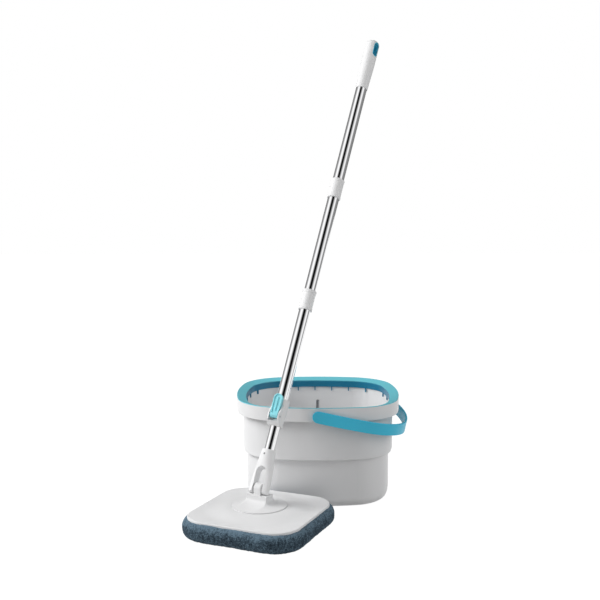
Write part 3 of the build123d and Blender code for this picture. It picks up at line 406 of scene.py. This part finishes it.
# ---------------------------------------------------------------- pad
def copy_of_node(name, piece_name):
    """A merged copy of a CAD node's loose triangles as a new object."""
    source = nodes[name]
    piece = linked(piece_name, source.data.copy())
    piece.data.materials.clear()
    weld = piece.modifiers.new("weld", "WELD")
    weld.merge_threshold = 1e-5
    apply_modifiers(piece)
    return piece


def apply_modifiers(piece):
    """The evaluated mesh becomes the piece's own."""
    graph = bpy.context.evaluated_depsgraph_get()
    mesh = bpy.data.meshes.new_from_object(piece.evaluated_get(graph))
    piece.modifiers.clear()
    old = piece.data
    piece.data = mesh
    bpy.data.meshes.remove(old)


def remesh(piece, voxel):
    modifier = piece.modifiers.new("remesh", "REMESH")
    modifier.mode = "VOXEL"
    modifier.voxel_size = voxel
    modifier.use_smooth_shade = True
    apply_modifiers(piece)


def inflate(piece, pressure, steps, cap):
    """Cloth filled with air; no point moves further than the cap."""
    before = coordinates(piece.data)
    cloth = piece.modifiers.new("cloth", "CLOTH")
    cloth.settings.use_pressure = True
    cloth.settings.uniform_pressure_force = pressure
    cloth.settings.effector_weights.gravity = 0.0
    scene = bpy.context.scene
    for number in range(1, steps + 1):
        scene.frame_set(number)
    apply_modifiers(piece)
    scene.frame_set(1)
    moved = coordinates(piece.data) - before
    length = np.linalg.norm(moved, axis=1, keepdims=True)
    share = np.minimum(1.0, cap / np.maximum(length, 1e-9))
    replace_coordinates(piece.data, before + moved * share)


def smoothstep(share):
    return share * share * (3.0 - 2.0 * share)


def lattice_noise(points, cell):
    """Smooth random value from 0 to 1.

    Each lattice corner has a fixed value, hashed from its place, and a point blends its eight
    corners by the smoothstep of its place in the cell.
    """
    place = points / np.asarray(cell)
    corner = np.floor(place)
    part = smoothstep(place - corner)
    total = np.zeros(len(points))
    for offset in np.ndindex(2, 2, 2):
        key = np.sin((corner + offset) @ np.array([127.1, 311.7, 74.7])) * 43758.5453
        weight = np.prod(np.where(np.array(offset) == 1, part, 1.0 - part), axis=1)
        total += weight * (key - np.floor(key))
    return total


CLUMP_SHARE, RIDGE_SHARE, SMALL_SHARE = 0.25, 0.35, 0.4  # of the pile's height


def tuft_height(points, width):
    """Height of the pile from 0 to 1: broad clumps, upright ridges and small tufts on them."""
    clumps = lattice_noise(points + 0.11, (3.0 * width, 3.0 * width, 2.5 * width))
    ridges = lattice_noise(points, (0.7 * width, 0.7 * width, 3.0 * width))
    small = lattice_noise(points + 0.37, (0.5 * width, 0.5 * width, 0.8 * width))
    return CLUMP_SHARE * clumps + RIDGE_SHARE * ridges + SMALL_SHARE * small


def tuft_lightness_with_painted_light(points, height, low, high):
    """The pile is made pale at its upper edge, and a little near the floor, as painted light. It is
    lighter on high tufts and darker in low ones, partly as its uneven tone and partly as painted
    shade in its hollows.
    """
    level = np.clip((points[:, 2] - low) / (high - low), 0.0, 1.0)
    painted_top_light = smoothstep(np.clip((level - 0.55) / 0.4, 0.0, 1.0))
    painted_floor_lift = np.clip(1.0 - level / 0.4, 0.0, 1.0)
    # Painted light at the top edge and near the floor; from the tufts' heights, uneven tone with
    # painted shade.
    return 0.03 + 0.22 * painted_top_light + 0.22 * painted_floor_lift + 0.60 * (height - 0.5)


class MOP_OT_pad(bpy.types.Operator):
    """Make the microfibre pad"""

    bl_idname = "spin_mop.pad"
    bl_label = "Microfibre Pad"

    def execute(self, context):
        settings = context.scene.mop_pad
        finish = context.scene.mop_finish
        pad = copy_of_node("mop_pad", "pad_microfibre")
        remesh(pad, settings.voxel)
        low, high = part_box("mop_pad")
        inflate(pad, settings.pressure, settings.steps, settings.cap)
        smooth = pad.modifiers.new("fine", "SUBSURF")
        smooth.levels = smooth.render_levels = 1
        apply_modifiers(pad)
        points = coordinates(pad.data)
        normals = np.empty(len(pad.data.vertices) * 3)
        pad.data.vertices.foreach_get("normal", normals)
        height = tuft_height(points, settings.tuft_width)
        points += normals.reshape(-1, 3) * ((height - 0.5) * settings.tuft)[:, None]
        points[:, 2] = np.maximum(points[:, 2], low.z)
        replace_coordinates(pad.data, points)
        attribute = pad.data.attributes.new("tuft", "FLOAT", "POINT")
        pile_lightness_with_painted_light = tuft_lightness_with_painted_light(points, height, low.z, high.z)
        attribute.data.foreach_set("value", pile_lightness_with_painted_light.astype(np.float32))
        pad.data.materials.append(microfibre(finish.pile_light, finish.pile_dark))
        pad.data.shade_smooth()
        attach(pad, "head")
        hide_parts("mop_pad")
        return {"FINISHED"}


# ---------------------------------------------------------------- finishes of the CAD pieces
class MOP_OT_plastics(bpy.types.Operator):
    """Finish the moulded pieces"""

    bl_idname = "spin_mop.plastics"
    bl_label = "Moulded Plastics"

    def execute(self, context):
        finish = context.scene.mop_finish
        dress(WHITE_NODES, moulded_plastic("moulded_white", finish.white, 0.34))
        dress(
            JOINT_NODES, moulded_plastic("moulded_joint_white", finish.joint, 0.34, FINE_GRAIN)
        )
        dress(["splash_ring"], ring_with_painted_lip_shade(finish.ring, finish.ring_lip_painted_shade))
        dress(["bail_handle", "bail_pins"], moulded_plastic("moulded_bail", finish.bail, 0.42))
        dress(["lock_lever"], moulded_plastic("moulded_lever", finish.lever, 0.32))
        dress(["hang_hole_liner"], moulded_plastic("moulded_liner", finish.liner, 0.4))
        dress(BEARING_NODES, moulded_plastic("moulded_bearing", finish.bearing, 0.5))
        dress(["clamp_collar"], moulded_plastic("moulded_collar", finish.collar, 0.45))
        dress(["hook_strips"], hook_tape(finish.white))
        return {"FINISHED"}


class MOP_OT_metals(bpy.types.Operator):
    """Finish the tubes, pins and screws"""

    bl_idname = "spin_mop.metals"
    bl_label = "Metals"

    def execute(self, context):
        dress(CHROME_NODES, polished_chrome())
        dress(STEEL_NODES, turned_steel(context.scene.mop_finish.steel))
        return {"FINISHED"}


# ---------------------------------------------------------------- stage
LAMP_SIZE = 1.8
KEY_PLACE = (-2.4, -0.45, 2.0)
FILL_PLACE = (2.3, -0.9, 1.3)
MIRROR_REACH = 9.0  # radius of the half sphere that only mirrors see
FLOOR_REACH = 12.0  # half the side of the floor
FLOOR_LEVEL = -0.0002  # just under the pieces that stand on it
FLOOR_TONE = 0.45
FLOOR_GLOW = 1.3
FLOOR_GLOW_SHARE = 0.76  # of what the camera sees of the floor; the rest is lit and takes shadow

# Light and dark screens round the object: (degrees to the right of the front, tone).
MIRROR_TONES = (
    (-180, 0.12), (-160, 0.18), (-130, 0.26), (-104, 0.48), (-88, 1.10), (-75, 1.20), (-46, 1.05),
    (-24, 0.18), (-10, 0.0), (14, 0.0), (24, 0.05), (38, 0.42), (54, 1.05), (70, 1.05), (84, 0.30),
    (120, 0.24), (160, 0.18), (180, 0.12),
)


def place_camera(stage):
    """Camera from its place, turn, pitch and roll."""
    camera = linked("camera", bpy.data.cameras.new("camera"))
    camera.data.sensor_width = 36.0
    camera.data.lens = stage.lens
    turn = Matrix.Rotation(stage.camera_turn, 4, "Z")
    pitch = Matrix.Rotation(math.pi / 2 - stage.camera_pitch, 4, "X")
    roll = Matrix.Rotation(stage.camera_roll, 4, "Z")
    camera.matrix_world = Matrix.Translation(stage.camera_place) @ turn @ pitch @ roll
    bpy.context.scene.camera = camera


def area_lamp(name, place, target, power):
    """Square lamp at a place, turned to a target, that mirrors don't see."""
    lamp = linked(name, bpy.data.lights.new(name, "AREA"))
    lamp.data.size = LAMP_SIZE
    lamp.data.energy = power
    lamp.visible_glossy = False
    lamp.location = place
    lamp.rotation_mode = "QUATERNION"
    lamp.rotation_quaternion = (Vector(target) - Vector(place)).to_track_quat("-Z", "Y")


def seen_white(tree):
    """1 for camera, mirror and glass rays, which see the white ground, and 0 for other light."""
    path = tree.nodes.new("ShaderNodeLightPath")
    total = path.outputs["Is Camera Ray"]
    for name in ("Is Glossy Ray", "Is Transmission Ray"):
        both = tree.nodes.new("ShaderNodeMath")
        both.operation = "MAXIMUM"
        tree.links.new(total, both.inputs[0])
        tree.links.new(path.outputs[name], both.inputs[1])
        total = both.outputs["Value"]
    return total


def white_world(strength):
    """White where it is seen, and a sky of the given strength for all other light."""
    world = bpy.data.worlds.new("sky")
    bpy.context.scene.world = world
    world.use_nodes = True
    tree = world.node_tree
    background = tree.nodes["Background"]
    background.inputs["Color"].default_value = (1.0, 1.0, 1.0, 1.0)
    level = tree.nodes.new("ShaderNodeMapRange")
    level.inputs["To Min"].default_value = strength
    level.inputs["To Max"].default_value = 1.0
    tree.links.new(seen_white(tree), level.inputs["Value"])
    tree.links.new(level.outputs["Result"], background.inputs["Strength"])


class MOP_OT_stage(bpy.types.Operator):
    """Set the camera, the lamps, the world and the floor"""

    bl_idname = "spin_mop.stage"
    bl_label = "Stage"

    def execute(self, context):
        stage = context.scene.mop_stage
        scene = context.scene
        scene.view_settings.view_transform = "Standard"
        place_camera(stage)
        white_world(stage.sky)
        low, high = cad_box
        middle = (low + high) / 2
        area_lamp("key", KEY_PLACE, middle, stage.key_power)
        area_lamp("fill", FILL_PLACE, middle, stage.fill_power)
        floor = linked("floor", floor_mesh())
        floor.data.materials.append(floor_material())
        room = linked("mirror_room", mirror_room_mesh())
        room.data.materials.append(mirror_room_material())
        room.visible_camera = room.visible_diffuse = room.visible_shadow = False
        room.visible_transmission = room.visible_volume_scatter = False
        return {"FINISHED"}


def mirror_room_mesh():
    """Half sphere about the origin, with a tone at each point by its angle round the object."""
    turn = np.radians(np.arange(-180, 180, 2.0))
    rise = np.radians(np.linspace(0.0, 89.5, 24))[:, None]
    points = np.stack(
        [
            MIRROR_REACH * np.cos(rise) * np.sin(turn),
            -MIRROR_REACH * np.cos(rise) * np.cos(turn),
            MIRROR_REACH * np.sin(rise) + 0.0 * turn,
        ],
        axis=-1,
    )
    mesh = grid_mesh("mirror_room", points)
    angles, tones = zip(*MIRROR_TONES)
    tone = np.interp(np.degrees(turn), angles, tones)
    attribute = mesh.attributes.new("tone", "FLOAT", "POINT")
    attribute.data.foreach_set("value", np.tile(tone, len(rise)).astype(np.float32))
    return mesh


def mirror_room_material():
    """Glows with the tone at each point."""
    g = Graph("mirror_room")
    tone = g.add("ShaderNodeAttribute", attribute_name="tone")
    glow = g.add("ShaderNodeEmission")
    g.link(tone.outputs["Fac"], glow.inputs["Strength"])
    g.link(glow.outputs["Emission"], g.tree.nodes["Material Output"].inputs["Surface"])
    return g.material


def floor_mesh():
    side = np.array([-FLOOR_REACH, FLOOR_REACH])
    x, y = np.meshgrid(side, side)
    points = np.stack([x, y, np.full_like(x, FLOOR_LEVEL)], axis=-1)
    return grid_mesh("floor", points, closed_u=False)


def floor_material():
    """White where the camera and mirrors see it, with the object's shadow kept faint on it."""
    g = Graph("floor")
    g.shader.inputs["Base Color"].default_value = (FLOOR_TONE, FLOOR_TONE, FLOOR_TONE, 1.0)
    g.shader.inputs["Roughness"].default_value = 0.9
    g.shader.inputs["Specular IOR Level"].default_value = 0.0
    glow = g.add("ShaderNodeEmission")
    glow.inputs["Color"].default_value = (1.0, 1.0, 1.0, 1.0)
    glow.inputs["Strength"].default_value = FLOOR_GLOW
    mix = g.add("ShaderNodeMixShader")
    part = g.add("ShaderNodeMath", operation="MULTIPLY")
    g.link(seen_white(g.tree), part.inputs[0])
    part.inputs[1].default_value = FLOOR_GLOW_SHARE
    g.link(part.outputs["Value"], mix.inputs["Fac"])
    g.link(g.shader.outputs["BSDF"], mix.inputs[1])
    g.link(glow.outputs["Emission"], mix.inputs[2])
    g.link(mix.outputs["Shader"], g.tree.nodes["Material Output"].inputs["Surface"])
    return g.material


# ---------------------------------------------------------------- panel and registration
OPERATORS = (MOP_OT_stage, MOP_OT_plastics, MOP_OT_metals, MOP_OT_pad)


class MOP_PT_panel(bpy.types.Panel):
    """Lists the pieces and their settings"""

    bl_idname = "MOP_PT_panel"
    bl_label = "Spin Mop"
    bl_space_type = "VIEW_3D"
    bl_region_type = "UI"
    bl_category = "Spin Mop"

    def draw(self, context):
        for operator in OPERATORS:
            self.layout.operator(operator.bl_idname)
        for group in (context.scene.mop_finish, context.scene.mop_pad, context.scene.mop_stage):
            box = self.layout.box()
            for name in group.__annotations__:
                box.prop(group, name)


CLASSES = (FinishSettings, PadSettings, StageSettings, *OPERATORS, MOP_PT_panel)


def register():
    for each in CLASSES:
        bpy.utils.register_class(each)
    bpy.types.Scene.mop_finish = PointerProperty(type=FinishSettings)
    bpy.types.Scene.mop_pad = PointerProperty(type=PadSettings)
    bpy.types.Scene.mop_stage = PointerProperty(type=StageSettings)


def unregister():
    del bpy.types.Scene.mop_finish
    del bpy.types.Scene.mop_pad
    del bpy.types.Scene.mop_stage
    for each in reversed(CLASSES):
        bpy.utils.unregister_class(each)


def main():
    register()
    bpy.ops.spin_mop.stage()
    bpy.ops.spin_mop.plastics()
    bpy.ops.spin_mop.metals()
    bpy.ops.spin_mop.pad()


if __name__ == "__main__":
    main()
